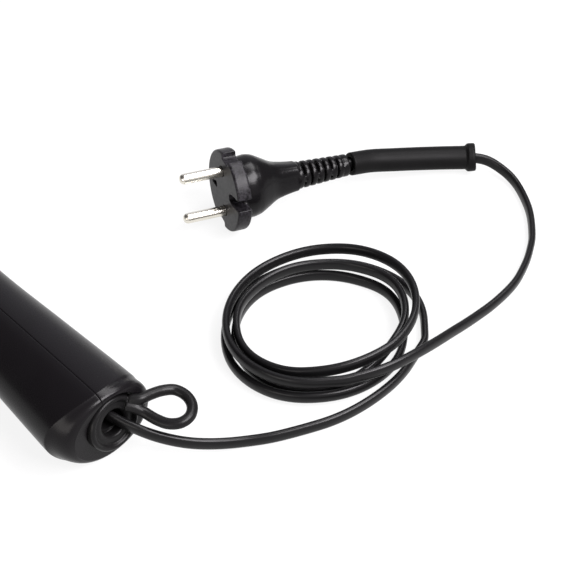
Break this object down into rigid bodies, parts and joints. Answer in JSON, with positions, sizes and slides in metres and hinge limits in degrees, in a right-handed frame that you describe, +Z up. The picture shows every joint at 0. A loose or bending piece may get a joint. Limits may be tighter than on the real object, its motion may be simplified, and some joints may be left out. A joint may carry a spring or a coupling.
{
  "type": "hot air tool",
  "caption": "Straight hot air tool for craft work: oval flared grip, steel nozzle, rubber rear ring with a hanging loop, and a coiled flat cord that ends in a round mains plug.",
  "frame": {"origin": "on the surface that the tool lies on, under the middle of the tool with its ring and hanging loop, the cord and the plug left out", "axes": "+X along the tool towards its nozzle, +Z up, with the switch on top"},
  "size_m": [0.2782, 0.2606, 0.0386],
  "materials": {
    "housing_plastic": "satin black, moulded",
    "rubber": "soft black, slight sheen",
    "cord_plastic": "black flexible sheath, slight sheen",
    "plug_plastic": "matt black, moulded",
    "grey_plastic": "matt dark grey",
    "white_plastic": "matt off-white",
    "bright_metal": "bright plated",
    "steel": "drawn stainless steel",
    "screw_steel": "plain dark steel",
    "heater_alloy": "dull resistance wire and laminations",
    "mica": "matt mica sheet",
    "circuit_board": "matt green laminate"
  },
  "bodies": {
    "housing": {"shell_left": "housing_plastic", "shell_right": "housing_plastic", "housing_screw_1": "screw_steel", "housing_screw_2": "screw_steel", "housing_screw_3": "screw_steel", "hanging_ring": "rubber", "cord_inner_end": "cord_plastic", "cord_clamp_base": "housing_plastic", "cord_clamp_bar": "housing_plastic", "clamp_screw_1": "screw_steel", "clamp_screw_2": "screw_steel", "circuit_board": "circuit_board", "rectifier_diode_1": "grey_plastic", "rectifier_diode_2": "grey_plastic", "rectifier_diode_3": "grey_plastic", "rectifier_diode_4": "grey_plastic", "suppressor_capacitor": "white_plastic", "switch_body": "grey_plastic", "motor_plate": "grey_plastic", "motor_can": "steel", "motor_end_cap": "grey_plastic", "motor_magnet_upper": "screw_steel", "motor_magnet_lower": "screw_steel", "nozzle_tube": "steel", "nose_ring": "grey_plastic", "heater_sleeve": "mica", "heater_former": "mica", "heater_coil": "heater_alloy", "thermal_cutout": "steel", "mouth_grille": "steel", "plug_body": "plug_plastic", "plug_pin_upper": "bright_metal", "plug_pin_lower": "bright_metal", "cord_tool_side": "cord_plastic", "cord_coil": "cord_plastic", "cord_plug_side": "cord_plastic", "cord_sleeve": "rubber"},
    "switch": {"switch_knob": "grey_plastic"},
    "rotor": {"motor_shaft": "steel", "motor_armature": "heater_alloy", "fan_wheel": "white_plastic"}
  },
  "joints": [
    {"name": "switch_slide", "type": "slide", "parent": "housing", "child": "switch", "axis": [1, 0, 0], "range_m": [0, 0.006]},
    {"name": "fan_spin", "type": "hinge", "parent": "housing", "child": "rotor", "pos_m": [0.05, 0.00537, 0.01758], "axis": [1, 0, 0], "continuous": true}
  ]
}
